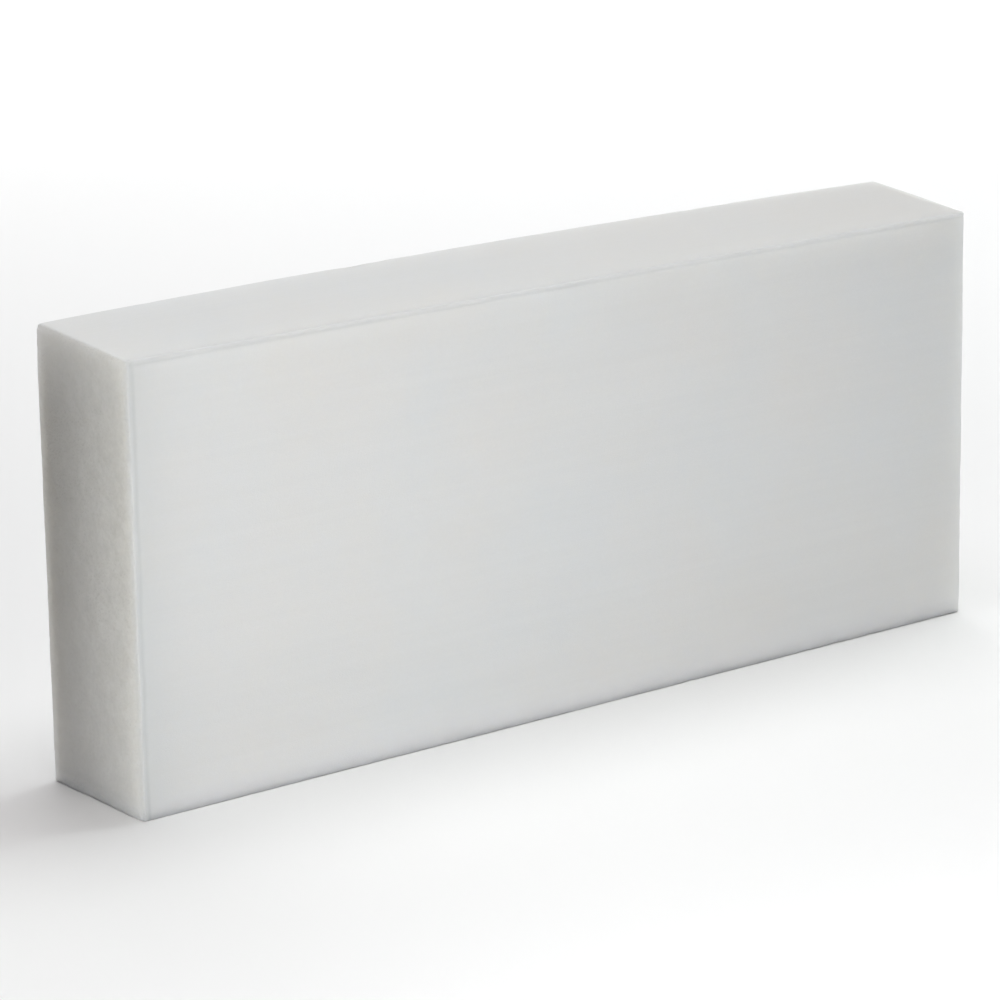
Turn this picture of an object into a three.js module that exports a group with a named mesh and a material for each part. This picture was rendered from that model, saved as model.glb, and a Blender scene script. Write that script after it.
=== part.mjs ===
// Floral foam brick: one slab of white closed-cell foam, wire-cut on all six sides.
// Millimetres, +Z up. The brick stands on one long narrow side, as it is stored on a shelf.
// Origin: middle of the face it stands on. +X runs along the length, +Y towards the back broad face.
import * as THREE from "three";

// Driving dimensions
const LENGTH = 230; // along X
const HEIGHT = 100; // along Z, as it stands
const THICKNESS = 35; // along Y
const CORNER_R = 2.4; // softening of the four short edges that run through the thickness
const ARRIS_R = 1.4; // softening of the long edges round the two broad faces
const CORNER_STEPS = 5;
const ARRIS_STEPS = 4;

const FOAM_WHITE = 0xe3e4e1;

// Outline of the broad face, inside the softened edge, drawn in X and Y with its middle at the origin.
function broadFaceOutline(length, height, radius, inset) {
  const hx = length / 2 - inset;
  const hy = height / 2 - inset;
  const r = radius - inset;
  const s = new THREE.Shape();
  s.moveTo(-hx + r, -hy);
  s.lineTo(hx - r, -hy);
  s.absarc(hx - r, -hy + r, r, -Math.PI / 2, 0, false);
  s.lineTo(hx, hy - r);
  s.absarc(hx - r, hy - r, r, 0, Math.PI / 2, false);
  s.lineTo(-hx + r, hy);
  s.absarc(-hx + r, hy - r, r, Math.PI / 2, Math.PI, false);
  s.lineTo(-hx, -hy + r);
  s.absarc(-hx + r, -hy + r, r, Math.PI, Math.PI * 1.5, false);
  return s;
}

const outline = broadFaceOutline(LENGTH, HEIGHT, CORNER_R, ARRIS_R);
const slab = new THREE.ExtrudeGeometry(outline, {
  depth: THICKNESS - 2 * ARRIS_R,
  bevelEnabled: true,
  bevelThickness: ARRIS_R,
  bevelSize: ARRIS_R,
  bevelSegments: ARRIS_STEPS,
  curveSegments: CORNER_STEPS,
  steps: 1,
});
slab.translate(0, 0, -(THICKNESS - 2 * ARRIS_R) / 2);

const foam = new THREE.MeshStandardMaterial({
  color: FOAM_WHITE,
  roughness: 0.92,
  metalness: 0.0,
});

const block = new THREE.Mesh(slab, foam);
block.name = "foam_block";
// The slab is extruded along its thickness; turn it so that the broad faces look along -Y and +Y and stand it on its long side.
block.rotation.x = Math.PI / 2;
block.position.set(0, 0, HEIGHT / 2);

const brick = new THREE.Group();
brick.add(block);

export default brick;
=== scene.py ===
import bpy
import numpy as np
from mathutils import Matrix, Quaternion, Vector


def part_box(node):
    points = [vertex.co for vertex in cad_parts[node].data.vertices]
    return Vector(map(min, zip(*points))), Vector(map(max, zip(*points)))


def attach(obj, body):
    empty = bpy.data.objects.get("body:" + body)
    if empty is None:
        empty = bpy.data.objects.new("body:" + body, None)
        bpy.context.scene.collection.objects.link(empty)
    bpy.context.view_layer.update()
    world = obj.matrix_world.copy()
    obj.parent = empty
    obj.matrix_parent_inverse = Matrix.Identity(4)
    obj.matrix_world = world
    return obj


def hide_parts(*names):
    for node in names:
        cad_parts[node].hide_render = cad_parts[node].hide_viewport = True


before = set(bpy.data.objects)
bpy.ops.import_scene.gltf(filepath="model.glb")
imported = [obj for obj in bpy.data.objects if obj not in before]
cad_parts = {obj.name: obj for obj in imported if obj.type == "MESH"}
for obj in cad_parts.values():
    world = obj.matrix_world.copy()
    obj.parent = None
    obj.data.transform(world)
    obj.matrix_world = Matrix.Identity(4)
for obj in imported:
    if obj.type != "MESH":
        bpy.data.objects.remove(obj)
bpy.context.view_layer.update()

# The looks of a slim brick of white cut foam that stands on one long narrow side.
# Row frame: +X along the length, +Y towards the back broad face, +Z up, metres.
# Working numbers are millimetres, named ..._MM or held in mm arrays, and are divided by 1000 at the end.

LO, HI = [np.array(c) * 1000.0 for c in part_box("foam_block")]
SIZE = HI - LO

# ---------------------------------------------------------------- the camera

camera_data = bpy.data.cameras.new("camera")
camera_data.lens = 145.765
camera_data.sensor_width = 36.0
camera_data.sensor_fit = "HORIZONTAL"
camera_data.clip_start = 0.02
camera_data.clip_end = 100.0
camera = bpy.data.objects.new("camera", camera_data)
camera.location = (-0.52129, -0.70425, 0.29995)
camera.rotation_mode = "QUATERNION"
camera.rotation_quaternion = Quaternion((0.758501, 0.572408, -0.181400, -0.253217))
bpy.context.scene.collection.objects.link(camera)
bpy.context.scene.camera = camera


# ---------------------------------------------------------------- small numeric helpers


def noise3(p, cell, seed):
    """Smooth value noise from -1 to 1 at the points p (mm), with one lattice cell of the given size (mm) along each axis."""
    table = np.random.default_rng(seed).uniform(-1.0, 1.0, (48, 48, 48))
    q = p / np.asarray(cell, float) + 1000.0
    i = np.floor(q).astype(int)
    t = q - i
    t = t * t * t * (t * (t * 6.0 - 15.0) + 10.0)
    out = np.zeros(len(p))
    for dx in (0, 1):
        wx = t[:, 0] if dx else 1.0 - t[:, 0]
        for dy in (0, 1):
            wy = t[:, 1] if dy else 1.0 - t[:, 1]
            for dz in (0, 1):
                wz = t[:, 2] if dz else 1.0 - t[:, 2]
                out += wx * wy * wz * table[(i[:, 0] + dx) % 48, (i[:, 1] + dy) % 48, (i[:, 2] + dz) % 48]
    return out


def fractal(p, cell, seed, octaves=3, gain=0.55):
    total, amp, norm = np.zeros(len(p)), 1.0, 0.0
    for k in range(octaves):
        total += amp * noise3(p, np.asarray(cell, float) / 2.0**k, seed + 17 * k)
        norm += amp
        amp *= gain
    return total / norm


def bell(d, width):
    """1 at d = 0, falling to 0 over about two widths."""
    return np.exp(-((d / width) ** 2))


def ramp(x, a, b):
    t = np.clip((x - a) / (b - a), 0.0, 1.0)
    return t * t * (3.0 - 2.0 * t)


def to_segment(a, b, p, q):
    """Distance in a face's plane from the points (a, b) to the segment p-q, and the place along it from 0 to 1."""
    p, q = np.asarray(p, float), np.asarray(q, float)
    d = q - p
    t = np.clip(((a - p[0]) * d[0] + (b - p[1]) * d[1]) / (d @ d), 0.0, 1.0)
    return np.hypot(a - p[0] - t * d[0], b - p[1] - t * d[1]), t


# ---------------------------------------------------------------- the foam brick

# Rows of the surface lattice close to an edge, in mm from that edge.
EDGE_ROWS_MM = np.array([0.0, 0.18, 0.38, 0.60, 0.84, 1.10, 1.40, 1.75, 2.20, 2.75, 3.45, 4.30])


def lattice(lo, hi, step):
    inner = np.linspace(lo + EDGE_ROWS_MM[-1], hi - EDGE_ROWS_MM[-1], int(round((hi - lo - 2 * EDGE_ROWS_MM[-1]) / step)) + 1)
    return np.concatenate((lo + EDGE_ROWS_MM[:-1], inner, (hi - EDGE_ROWS_MM[:-1])[::-1]))


XS = lattice(LO[0], HI[0], 1.36)
YS = lattice(LO[1], HI[1], 0.70)
ZS = lattice(LO[2], HI[2], 0.72)


def surface_lattice():
    """The points of a box's six faces as one closed quad mesh, outward faces."""
    nx, ny, nz = len(XS), len(YS), len(ZS)
    ids = -np.ones((nx, ny, nz), int)
    shell = np.zeros((nx, ny, nz), bool)
    shell[0], shell[-1] = True, True
    shell[:, 0], shell[:, -1] = True, True
    shell[:, :, 0], shell[:, :, -1] = True, True
    ids[shell] = np.arange(shell.sum())
    gx, gy, gz = np.meshgrid(XS, YS, ZS, indexing="ij")
    points = np.column_stack((gx[shell], gy[shell], gz[shell]))

    def quads(grid, flip):
        a, b, c, d = grid[:-1, :-1], grid[1:, :-1], grid[1:, 1:], grid[:-1, 1:]
        order = (a, d, c, b) if flip else (a, b, c, d)
        return np.stack([o.ravel() for o in order], axis=1)

    faces = np.concatenate(
        (
            quads(ids[0], True),  # -X, u = y, v = z
            quads(ids[-1], False),  # +X
            quads(ids[:, 0], False),  # -Y, u = x, v = z
            quads(ids[:, -1], True),  # +Y
            quads(ids[:, :, 0], True),  # -Z, u = x, v = y
            quads(ids[:, :, -1], False),  # +Z
        )
    )
    return points, faces


def edge_reaches(p):
    """How far the rounding of the nearest edges reaches in from each face (mm), as one number per axis.
    Each of the twelve edges has its own two reaches, and they flow into each other at the corners."""
    x, y, z = p.T
    left, right = x - LO[0], HI[0] - x
    front, back = y - LO[1], HI[1] - y
    low, high = z - LO[2], HI[2] - z
    along_y = front / SIZE[1]  # 0 at the front broad face, 1 at the back
    one = np.ones(len(p))
    wob = 1.0 + 0.22 * noise3(p, (9.0, 9.0, 9.0), 901)
    nick = bell(x + 36.6, 3.6) + 0.5 * bell(x + 29.5, 2.2)  # torn spot in the upper back arris
    edges = [
        # distances to the edge's two faces, reach along X, along Y, along Z (None where the edge runs)
        (front, high, None, 0.24 * one, 0.20 * one),  # upper front arris, crisp
        (back, high, None, 0.45 + 0.9 * nick, 0.40 + 0.10 * nick),  # upper back arris
        (front, low, None, 0.22 * one, 0.18 * one),
        (back, low, None, 0.55 * one, 0.45 * one),
        (left, front, 0.75 * one, 3.60 * one, None),  # left front arris, rolled over towards the end
        (left, back, 0.40 * one, 0.45 * one, None),
        (right, front, 0.40 * one, 0.80 * one, None),
        (right, back, 0.95 * one, 0.95 * one, None),
        (left, high, 0.90 + 0.1 * along_y, None, 1.80 + 1.2 * along_y),  # left end rolls into the top
        (left, low, 0.45 * one, None, 0.45 * one),
        (right, high, 0.50 * one, None, 0.80 * one),
        (right, low, 0.55 * one, None, 0.55 * one),
    ]
    reach = np.zeros_like(p)
    for axis in range(3):
        top, bottom = np.zeros(len(p)), np.zeros(len(p))
        for a, b, *reaches in edges:
            if reaches[axis] is None:
                continue
            w = 1.0 / (np.hypot(a, b) + 0.5) ** 3
            top += w * reaches[axis]
            bottom += w
        reach[:, axis] = wob * top / bottom
    return reach


def round_edges(p):
    reach = edge_reaches(p)
    centre = np.minimum(np.maximum(p, LO + reach), HI - reach)
    n = (p - centre) / reach
    n /= np.linalg.norm(n, axis=1)[:, None]
    rounded = centre + reach * n
    outward = n / reach
    outward /= np.linalg.norm(outward, axis=1)[:, None]
    return rounded, outward


def relief(p, n):
    """Height of the cut surface above its mean plane (mm), and the masks that the material reads."""
    x, y, z = p.T
    left, right = x - LO[0], HI[0] - x
    front, back = y - LO[1], HI[1] - y
    low, high = z - LO[2], HI[2] - z
    end = ramp(np.abs(n[:, 0]), 0.55, 0.95)
    broad = ramp(np.abs(n[:, 1]), 0.55, 0.95)
    narrow = ramp(np.abs(n[:, 2]), 0.55, 0.95)
    on_front = ramp(-n[:, 1], 0.35, 0.9)
    h = np.zeros(len(p))

    # slow unevenness of a block cut by a hot or vibrating wire; the side it stands on is flat
    free = 1.0 - ramp(-n[:, 2], 0.1, 0.6) * ramp(low, 3.0, 0.2)
    h += free * (0.08 * noise3(p, (55.0, 55.0, 40.0), 11) + 0.04 * noise3(p, (21.0, 21.0, 17.0), 12))

    # the wire runs along the length: faint lengthwise drag lines on the four long faces
    lines = 0.010 * noise3(p, (120.0, 2.4, 2.4), 21) + 0.006 * noise3(p, (70.0, 1.5, 1.5), 22)
    lines += 0.014 * noise3(p, (160.0, 7.0, 7.0), 23)
    h += (broad + narrow) * lines
    h += (broad + narrow) * 0.006 * noise3(p, (2.8, 2.0, 2.0), 24)

    # the two ends are torn across the cells: pits, a woolly grain and a few deeper pulls
    grain = 0.030 * noise3(p, (1.5, 1.5, 1.5), 31) + 0.045 * noise3(p, (3.4, 3.4, 3.4), 32)
    pits = -0.10 * ramp(noise3(p, (2.1, 2.1, 2.1), 33), 0.42, 0.9) - 0.13 * ramp(noise3(p, (3.9, 3.9, 5.5), 34), 0.55, 0.95)
    h += end * (grain + pits + 0.05 * noise3(p, (9.0, 6.0, 22.0), 35))

    # a thin pressed line just inside the front arrises, beside a low burr on the arris itself
    wander = 0.13 * noise3(p, (14.0, 14.0, 14.0), 41) + 0.06 * noise3(p, (4.0, 4.0, 4.0), 42)
    side_line = bell(left - 1.45 - wander, 0.36) * on_front
    top_line = bell(high - 0.95 - 0.6 * wander, 0.30) * on_front * ramp(left, 0.6, 1.6)
    side_burr = bell(front - 0.4, 1.5) * ramp(-n[:, 0], 0.25, 0.8)
    h += -0.09 * side_line - 0.06 * top_line + 0.08 * side_burr

    # marks on the left end: a short slanting scratch, two raised specks and a shallow fingernail arc
    on_left = ramp(-n[:, 0], 0.6, 0.95)
    d, t = to_segment(y, z, (-8.1, 41.2), (-11.6, 39.7))
    scratch = bell(d, 0.42) * on_left * (0.65 + 0.35 * t)
    specks = bell(np.hypot(y - 13.3, z - 11.7), 0.75) + bell(np.hypot(y - 12.7, z - 9.1), 0.65) + 0.7 * bell(np.hypot(y + 4.4, z - 62.0), 0.6)
    specks = specks * on_left
    r = np.hypot(y + 9.5, z - 28.2)
    arc = bell(r - 8.6, 0.6) * on_left * ramp(z, 28.5, 24.0) * ramp(y, 0.4, -2.4)
    h += -0.26 * scratch + 0.30 * specks - 0.12 * arc

    # the right end carries its own: a longer drag and a few crumbs pulled out
    on_right = ramp(n[:, 0], 0.6, 0.95)
    d, t = to_segment(y, z, (3.0, 71.0), (9.5, 64.5))
    drag = bell(d, 0.5) * on_right * (1.0 - 0.5 * t)
    crumbs = np.zeros(len(p))
    for cy, cz, w in ((-9.0, 22.0, 1.0), (-6.2, 24.6, 0.8), (5.4, 44.0, 0.9), (11.0, 83.0, 0.7), (-12.0, 58.0, 0.8)):
        crumbs += bell(np.hypot(y - cy, z - cz), w)
    crumbs = crumbs * on_right
    h += -0.22 * drag - 0.28 * crumbs

    # the back broad face, which was laid down: two soft dents and a light scuff
    on_back = ramp(n[:, 1], 0.6, 0.95)
    dents = bell(np.hypot((x - 62.0) / 1.3, z - 31.0), 7.0) + 0.7 * bell(np.hypot(x + 71.0, (z - 66.0) / 1.4), 5.5)
    d, t = to_segment(x, z, (18.0, 72.0), (39.0, 66.0))
    scuff = bell(d, 1.1) * on_back * ramp(t, 0.0, 0.3) * ramp(t, 1.0, 0.7)
    h += -0.22 * dents * on_back - 0.06 * scuff

    # crumbled places along the edges
    crumble = np.zeros(len(p))
    for cx, w, depth in ((31.6, 1.2, 0.16), (66.2, 1.6, 0.22), (76.1, 1.3, 0.26), (86.1, 1.4, 0.20), (106.4, 1.1, 0.15), (-52.0, 1.2, 0.12)):
        crumble += depth * bell(x - cx, w) * bell(np.hypot(front, low), 0.7)
    for cx, w, depth in ((-36.6, 3.4, 0.05), (-29.5, 2.2, 0.04), (58.0, 1.8, 0.08), (-88.0, 1.6, 0.07)):
        crumble += depth * bell(x - cx, w) * bell(np.hypot(back, high), 1.3)
    for cx, w, depth in ((-12.0, 1.6, 0.5), (44.0, 2.2, 0.4), (91.0, 1.4, 0.5)):
        crumble += depth * bell(x - cx, w) * bell(np.hypot(back, low), 1.1)
    for cz, w, depth in ((18.0, 1.5, 0.45), (57.0, 2.1, 0.35), (86.0, 1.3, 0.4)):
        crumble += depth * bell(z - cz, w) * bell(np.hypot(back, right), 1.1)
    torn = np.minimum(
        np.minimum(np.minimum(np.hypot(left, back), np.hypot(left, low)), np.hypot(right, back)),
        np.minimum(np.minimum(np.hypot(right, low), np.hypot(right, front)), np.hypot(right, high)),
    )
    crumble += bell(torn, 0.9) * 0.16 * (0.5 + 0.5 * noise3(p, (1.6, 1.6, 1.6), 51)) * ramp(noise3(p, (11.0, 11.0, 11.0), 52), -0.3, 0.6)
    h -= crumble

    masks = {
        "end_cut": end,
        # painted shade: darker along the pressed line just inside the front arrises, where shade falls in the crease
        "pressed_line_painted_shade": np.clip(np.maximum(side_line, top_line), 0.0, 1.0),
        "marks": np.clip(scratch + arc * 0.6 + drag + 0.8 * crumbs + 0.5 * scuff, 0.0, 1.0),
        # painted shade: the front face greyer within about 6 mm of the left arris, and a little near the right arris
        "front_edge_painted_shade": np.clip((np.exp(-left / 6.0) + 0.35 * np.exp(-right / 6.0)) * on_front, 0.0, 1.0),
        # painted shade: the upper front arris and the left front arris darker
        "arris_painted_shade": np.clip(0.55 * bell(np.hypot(front, high), 0.9) + 0.45 * np.exp(-np.hypot(front, high) / 3.2), 0.0, 1.0)
        * np.maximum(on_front, ramp(n[:, 2], 0.3, 0.8))
        + 1.1 * bell(np.hypot(left, front), 1.1),
        # painted light: the ends paler towards the top edge, more so towards the front
        "end_top_painted_light": np.clip(np.exp(-high / 10.0) * end * (0.50 + 0.62 * front / SIZE[1]), 0.0, 1.0),
        # painted light: a paler band along the foot, set against the contact shadow; wider on the ends
        "foot_painted_light": np.maximum(np.exp(-low / 4.6), 0.52 * np.exp(-low / 28.0) * end),
        # painted shade: the top greyer towards the right end
        "top_painted_shade": ramp(n[:, 2], 0.3, 0.8) * (0.04 + 0.60 * np.clip(left / SIZE[0], 0.0, 1.0) ** 1.3),
        # painted shade: the ends greyer towards the back and along the back edge
        "end_back_painted_shade": np.clip(ramp(y, -6.0, 17.5) * end * ramp(high, 0.0, 22.0) + 0.7 * bell(back, 1.4) * end, 0.0, 1.0),
        "torn_spot": np.clip(bell(x + 36.0, 4.6) * bell(np.hypot(back, high), 1.5), 0.0, 1.0),
    }
    return h, masks


# How far each corner of the hand-cut block is off a true box, mm.
# Left or right, front or back, low or high.
CORNER_OFF_MM = {
    (0, 0, 0): (0.30, 0.55, 0.0),
    (1, 0, 0): (0.28, 0.45, 0.0),
    (0, 1, 0): (-1.30, -0.65, 0.0),
    (1, 1, 0): (0.55, -0.50, 0.0),
    (0, 0, 1): (0.05, -0.27, -0.34),
    (1, 0, 1): (-0.40, 0.24, -1.40),
    (0, 1, 1): (-0.16, 0.27, 0.90),
    (1, 1, 1): (1.10, -0.81, 0.42),
}
CROWN_MM = 1.1  # the upper back edge is higher at mid length than at its ends


def hand_cut(p):
    u, v, w = ((p - LO) / SIZE).T
    out = p.copy()
    for (i, j, k), off in CORNER_OFF_MM.items():
        weight = (u if i else 1 - u) * (v if j else 1 - v) * (w if k else 1 - w)
        out += weight[:, None] * np.array(off)
    s = 2.0 * u - 1.0
    out[:, 2] += CROWN_MM * (1.0 - s * s) * (1.0 - 0.16 * s) * v * w
    out[:, 2] = np.maximum(out[:, 2], LO[2])
    return out


def make_brick():
    sharp, faces = surface_lattice()
    rounded, outward = round_edges(sharp)
    h, masks = relief(rounded, outward)
    p = rounded + outward * h[:, None]
    p = hand_cut(p)
    mesh = bpy.data.meshes.new("foam_brick")
    mesh.vertices.add(len(p))
    mesh.vertices.foreach_set("co", (p / 1000.0).ravel())
    mesh.loops.add(faces.size)
    mesh.loops.foreach_set("vertex_index", faces.ravel())
    mesh.polygons.add(len(faces))
    mesh.polygons.foreach_set("loop_start", np.arange(0, faces.size, 4))
    mesh.polygons.foreach_set("loop_total", np.full(len(faces), 4))
    mesh.update(calc_edges=True)
    mesh.validate()
    mesh.polygons.foreach_set("use_smooth", np.ones(len(faces), bool))
    for name, value in masks.items():
        attribute = mesh.attributes.new(name, "FLOAT", "POINT")
        attribute.data.foreach_set("value", value.astype(np.float32))
    brick = bpy.data.objects.new("foam_brick", mesh)
    bpy.context.scene.collection.objects.link(brick)
    return brick


# ---------------------------------------------------------------- materials


class Nodes:
    """Short calls for wiring one material."""

    def __init__(self, material):
        material.use_nodes = True
        self.tree = material.node_tree
        self.tree.nodes.clear()

    def new(self, kind, inputs=None, **settings):
        node = self.tree.nodes.new(kind)
        for key, value in settings.items():
            setattr(node, key, value)
        for key, value in (inputs or {}).items():
            self.put(node.inputs[key], value)
        return node

    def put(self, socket, value):
        if isinstance(value, bpy.types.NodeSocket):
            self.tree.links.new(value, socket)
        else:
            socket.default_value = value

    def math(self, operation, a, b=0.0, c=0.0, clamp=False):
        node = self.new("ShaderNodeMath", operation=operation, use_clamp=clamp)
        for socket, value in zip(node.inputs, (a, b, c)):
            self.put(socket, value)
        return node.outputs[0]

    def fit(self, value, a, b, c=0.0, d=1.0, kind="LINEAR"):
        node = self.new("ShaderNodeMapRange", interpolation_type=kind)
        for key, v in (("Value", value), ("From Min", a), ("From Max", b), ("To Min", c), ("To Max", d)):
            self.put(node.inputs[key], v)
        return node.outputs["Result"]

    def mix(self, factor, a, b):
        node = self.new("ShaderNodeMix", data_type="RGBA")
        for socket, value in ((node.inputs[0], factor), (node.inputs[6], a), (node.inputs[7], b)):
            self.put(socket, value)
        return node.outputs[2]

    def scaled(self, vector, factors):
        node = self.new("ShaderNodeVectorMath", operation="MULTIPLY")
        self.put(node.inputs[0], vector)
        self.put(node.inputs[1], factors)
        return node.outputs[0]

    def noise(self, vector, scale, detail=2.0, rough=0.5):
        node = self.new("ShaderNodeTexNoise", {"Vector": vector, "Scale": scale, "Detail": detail, "Roughness": rough})
        return node.outputs["Fac"] if "Fac" in node.outputs else node.outputs[0]

    def cells(self, vector, scale, feature="F1", spread=1.0):
        node = self.new("ShaderNodeTexVoronoi", feature=feature)
        self.put(node.inputs["Vector"], vector)
        self.put(node.inputs["Scale"], scale)
        self.put(node.inputs["Randomness"], spread)
        return node

    def attribute(self, name):
        return self.new("ShaderNodeAttribute", attribute_name=name).outputs["Fac"]


def foam_material():
    material = bpy.data.materials.new("white_cut_foam")
    n = Nodes(material)
    mm = n.scaled(n.new("ShaderNodeTexCoord").outputs["Object"], (1000.0, 1000.0, 1000.0))
    end = n.attribute("end_cut")
    pressed_line_painted_shade = n.attribute("pressed_line_painted_shade")
    marks = n.attribute("marks")
    torn = n.attribute("torn_spot")
    front_edge_painted_shade = n.attribute("front_edge_painted_shade")
    arris_painted_shade = n.attribute("arris_painted_shade")
    end_top_painted_light = n.attribute("end_top_painted_light")
    foot_painted_light = n.attribute("foot_painted_light")
    end_back_painted_shade = n.attribute("end_back_painted_shade")
    top_painted_shade = n.attribute("top_painted_shade")

    # cell structure: closed cells of about 0.3 mm, opened by the cut
    fine = n.cells(mm, 3.1)
    fine_pit = n.fit(fine.outputs["Distance"], 0.0, 0.55, 1.0, 0.0, "SMOOTHSTEP")
    fine_tone = n.new("ShaderNodeSeparateColor", {"Color": fine.outputs["Color"]}).outputs[0]
    coarse = n.cells(mm, 1.35)
    coarse_pit = n.fit(coarse.outputs["Distance"], 0.05, 0.62, 1.0, 0.0, "SMOOTHSTEP")
    coarse_tone = n.new("ShaderNodeSeparateColor", {"Color": coarse.outputs["Color"]}).outputs[1]
    wool = n.noise(mm, 1.1, 4.0, 0.62)
    dust = n.noise(mm, 4.2, 3.0, 0.6)
    mottle = n.noise(mm, 0.30, 3.0, 0.55)
    cloud = n.noise(mm, 0.028, 2.0, 0.5)
    streak = n.noise(n.scaled(mm, (0.010, 0.55, 0.55)), 1.0, 3.0, 0.6)

    # colour: a neutral white, with cooler and warmer drifts, faint lengthwise streaks and a greyer, mottled end; the
    # end's grey is partly the torn cells' own tone and partly painted shade
    white_cool = (0.722, 0.738, 0.742, 1.0)
    white_warm = (0.740, 0.738, 0.724, 1.0)
    base = n.mix(n.fit(cloud, 0.32, 0.68), white_cool, white_warm)
    streaked = n.mix(n.fit(streak, 0.30, 0.70, 0.0, 0.18), base, (0.795, 0.800, 0.798, 1.0))
    celled = n.mix(n.math("MULTIPLY", fine_tone, 0.10), streaked, (0.63, 0.635, 0.63, 1.0))
    end_tone = n.math("ADD", n.math("MULTIPLY", n.fit(mottle, 0.30, 0.70), 0.55), n.math("MULTIPLY", n.fit(wool, 0.32, 0.68), 0.45))
    # the ends are greyer than the long faces: partly the torn cells' own tone, partly painted shade
    end_colour_and_shade = n.mix(end_tone, (0.505, 0.492, 0.463, 1.0), (0.605, 0.594, 0.566, 1.0))
    end_colour_and_shade = n.mix(n.math("MULTIPLY", coarse_pit, 0.16), end_colour_and_shade, (0.45, 0.44, 0.42, 1.0))
    end_colour_and_shade = n.mix(n.math("MULTIPLY", coarse_tone, 0.10), end_colour_and_shade, (0.72, 0.715, 0.70, 1.0))
    # painted shade: the ends greyer towards the back
    end_colour_and_shade = n.mix(n.math("MULTIPLY", end_back_painted_shade, 0.60), end_colour_and_shade, (0.40, 0.388, 0.362, 1.0))
    # painted light: the ends paler near the top
    end_colour_and_shade = n.mix(n.math("MULTIPLY", end_top_painted_light, 0.85), end_colour_and_shade, (0.80, 0.795, 0.775, 1.0))
    colour = n.mix(end, celled, end_colour_and_shade)
    # painted light: a paler foot, set against the contact shadow
    colour = n.mix(n.math("MULTIPLY", foot_painted_light, 0.95), colour, (0.93, 0.93, 0.92, 1.0))
    # painted shade: the front greyer near the left and right arrises
    colour = n.mix(n.math("MULTIPLY", front_edge_painted_shade, 0.64), colour, (0.50, 0.52, 0.53, 1.0))
    # painted shade: the top greyer towards the right end
    colour = n.mix(top_painted_shade, colour, (0.53, 0.52, 0.505, 1.0))
    # painted shade: the front arrises darker
    colour = n.mix(n.math("MULTIPLY", arris_painted_shade, 0.72), colour, (0.51, 0.518, 0.518, 1.0))
    # painted shade: the dark line in the crease inside the front arrises
    colour = n.mix(n.math("MULTIPLY", pressed_line_painted_shade, 0.46), colour, (0.50, 0.520, 0.522, 1.0))
    colour = n.mix(n.math("MULTIPLY", marks, 0.22), colour, (0.50, 0.49, 0.47, 1.0))
    colour = n.mix(n.math("MULTIPLY", torn, 0.42), colour, (0.42, 0.40, 0.39, 1.0))

    # micro relief in mm: shallow pores on the long faces, deeper torn cells on the ends
    long_height = n.math("MULTIPLY", fine_pit, -0.016)
    long_height = n.math("ADD", long_height, n.math("MULTIPLY", dust, 0.010))
    long_height = n.math("ADD", long_height, n.math("MULTIPLY", streak, 0.020))
    end_height = n.math("ADD", n.math("MULTIPLY", coarse_pit, -0.075), n.math("MULTIPLY", fine_pit, -0.030))
    end_height = n.math("ADD", end_height, n.math("MULTIPLY", wool, 0.120))
    end_height = n.math("ADD", end_height, n.math("MULTIPLY", dust, 0.030))
    height = n.new("ShaderNodeMix", data_type="FLOAT", inputs={0: end, 2: long_height, 3: end_height}).outputs[0]
    bump = n.new("ShaderNodeBump", {"Strength": 1.0, "Distance": 0.001, "Height": height})

    rough = n.math("ADD", n.fit(dust, 0.3, 0.7, 0.86, 0.94), n.math("MULTIPLY", end, 0.04))
    rough = n.math("SUBTRACT", rough, n.math("MULTIPLY", pressed_line_painted_shade, 0.10), clamp=True)

    shader = n.new(
        "ShaderNodeBsdfPrincipled",
        {
            "Base Color": colour,
            "Roughness": rough,
            "Normal": bump.outputs[0],
            "Metallic": 0.0,
            "IOR": 1.36,
            "Specular IOR Level": 0.30,
            "Subsurface Weight": 0.85,
            "Subsurface Radius": (1.0, 0.97, 0.90),
            "Subsurface Scale": 0.011,
        },
    )
    shader.subsurface_method = "RANDOM_WALK"
    out = n.new("ShaderNodeOutputMaterial")
    n.tree.links.new(shader.outputs[0], out.inputs["Surface"])
    return material


def floor_material():
    material = bpy.data.materials.new("pale_studio_floor")
    n = Nodes(material)
    where = n.new("ShaderNodeTexCoord").outputs["Object"]
    tone = n.noise(where, 3.0, 2.0, 0.5)
    colour = n.mix(n.fit(tone, 0.3, 0.7), (0.925, 0.925, 0.925, 1.0), (0.935, 0.935, 0.933, 1.0))
    shader = n.new("ShaderNodeBsdfPrincipled", {"Base Color": colour, "Roughness": 0.9, "Specular IOR Level": 0.1})
    out = n.new("ShaderNodeOutputMaterial")
    n.tree.links.new(shader.outputs[0], out.inputs["Surface"])
    return material


# ---------------------------------------------------------------- floor, light and air


def make_floor():
    rings = [0.0, 0.25, 0.5, 1.0, 2.0, 4.0, 8.0]
    spokes = 96
    verts, faces = [(0.0, 0.0, 0.0)], []
    for r in rings[1:]:
        for k in range(spokes):
            a = 2 * np.pi * k / spokes
            verts.append((r * np.cos(a), r * np.sin(a), 0.0))
    for k in range(spokes):
        faces.append((0, 1 + k, 1 + (k + 1) % spokes))
    for ring in range(len(rings) - 2):
        a, b = 1 + ring * spokes, 1 + (ring + 1) * spokes
        for k in range(spokes):
            m = (k + 1) % spokes
            faces.append((a + k, b + k, b + m, a + m))
    mesh = bpy.data.meshes.new("floor")
    mesh.from_pydata(verts, [], faces)
    floor = bpy.data.objects.new("floor", mesh)
    floor.location = (0.0, 0.0, -0.00005)
    bpy.context.scene.collection.objects.link(floor)
    mesh.materials.append(floor_material())
    return floor


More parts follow.
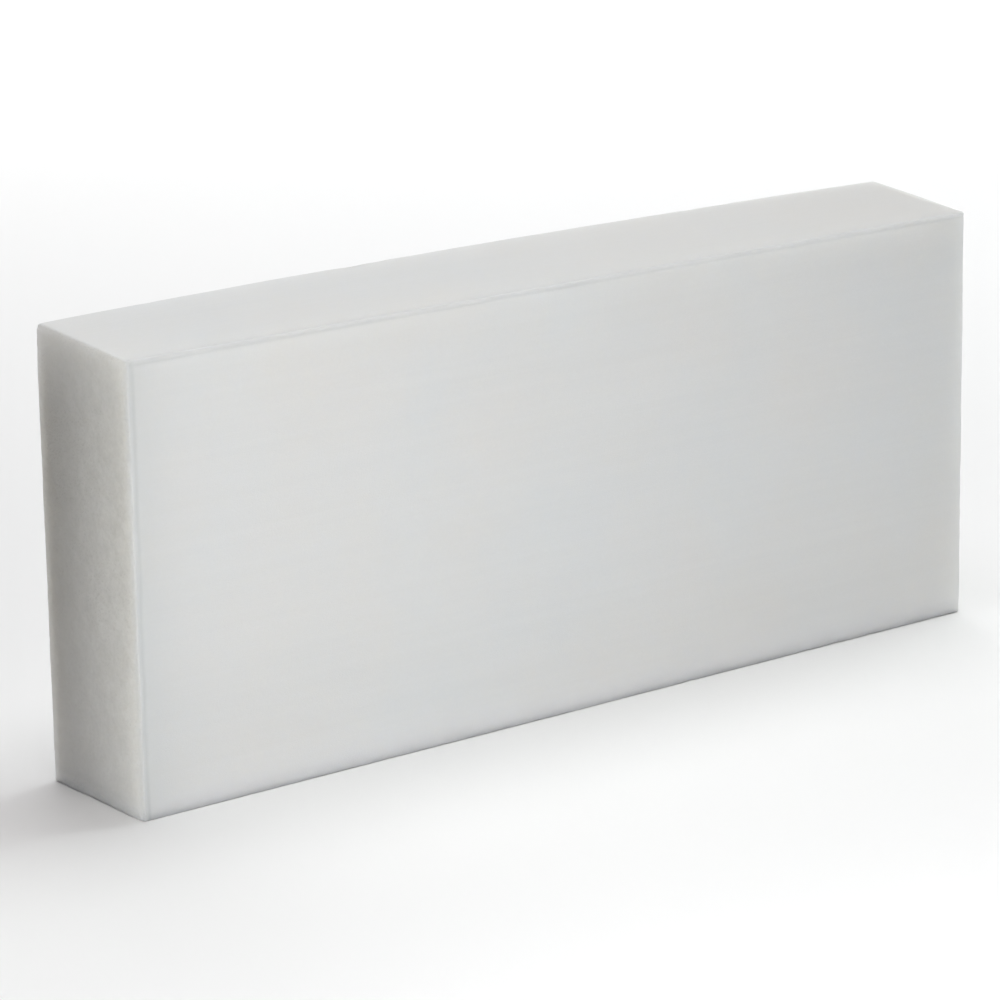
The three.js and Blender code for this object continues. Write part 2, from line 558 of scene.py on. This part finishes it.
def place_light(name, data, at, towards, watts, colour):
    data.energy = watts
    data.color = colour
    light = bpy.data.objects.new(name, data)
    light.location = at
    light.rotation_mode = "QUATERNION"
    light.rotation_quaternion = (Vector(towards) - Vector(at)).to_track_quat("-Z", "Y")
    light.visible_camera = False
    bpy.context.scene.collection.objects.link(light)
    return light


def soft_light(name, at, towards, size, watts, colour):
    data = bpy.data.lights.new(name, "AREA")
    data.shape = "RECTANGLE"
    data.size, data.size_y = size
    return place_light(name, data, at, towards, watts, colour)


def floor_ring(watts, colour):
    """Eight softboxes in a ring, straight down, so that the floor stays pale on every side. They don't reach the brick."""
    for k in range(8):
        a = np.pi * (k + 0.5) / 4.0
        at = (2.4 * np.cos(a), 2.4 * np.sin(a), 1.2)
        box = soft_light("floor_softbox_%d" % (k + 1), at, (at[0], at[1], 0.0), (1.6, 1.6), watts, colour)
        box.data.spread = np.radians(96.0)


def feathered_light(name, at, towards, half_angle, feather, radius, watts, colour):
    """A round beam with a wide soft edge. The edge falls across the left end of the brick."""
    data = bpy.data.lights.new(name, "SPOT")
    data.spot_size = 2.0 * np.radians(half_angle)
    data.spot_blend = feather
    data.shadow_soft_size = radius
    return place_light(name, data, at, towards, watts, colour)


WORLD = ((1.0, 1.0, 0.98), 0.004)


def make_world():
    world = bpy.data.worlds.new("studio_air")
    world.use_nodes = True
    tree = world.node_tree
    tree.nodes.clear()
    background = tree.nodes.new("ShaderNodeBackground")
    background.inputs["Color"].default_value = (*WORLD[0], 1.0)
    background.inputs["Strength"].default_value = WORLD[1]
    out = tree.nodes.new("ShaderNodeOutputWorld")
    tree.links.new(background.outputs[0], out.inputs["Surface"])
    bpy.context.scene.world = world


scene = bpy.context.scene
scene.view_settings.view_transform = "Standard"
scene.view_settings.look = "None"
scene.view_settings.exposure = 0.0
scene.view_settings.gamma = 1.0

make_world()
floor = make_floor()
brick = make_brick()
brick.data.materials.append(foam_material())
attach(brick, "root")
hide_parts("foam_block")

soft_light("front_softbox", (-0.14, -0.36, 0.09), (-0.06, 0.0, 0.05), (0.25, 0.12), 0.590, (0.997, 0.998, 1.0))
soft_light("overhead_softbox", (0.0, 0.0, 1.4), (0.0, 0.0, 0.0), (1.2, 1.2), 11.1, (1.0, 0.975, 0.981))
soft_light("right_softbox", (0.8, 0.0, 1.2), (0.0, 0.0, 0.0), (0.8, 0.8), 7.0, (0.941, 1.0, 0.986))
soft_light("back_softbox", (0.3, 0.9, 0.6), (0.0, 0.0, 0.05), (0.5, 0.5), 1.0, (1.0, 0.995, 0.985))
soft_light("far_floor_wash", (1.1, 1.6, 0.9), (1.1, 1.6, 0.0), (1.2, 1.2), 8.2, (1.0, 0.988, 0.925))
soft_light("back_floor_wash", (0.6, 0.85, 0.9), (0.6, 0.85, 0.0), (1.0, 1.0), 3.29, (0.950, 0.945, 1.0))
floor_ring(15.0, (1.0, 1.0, 1.0))
feathered_light("left_fill", (-3.0, -0.018, 0.30), (-0.115, -0.299, 0.05), 6.0, 0.1524, 0.02, 162.0, (0.982, 1.0, 0.971))
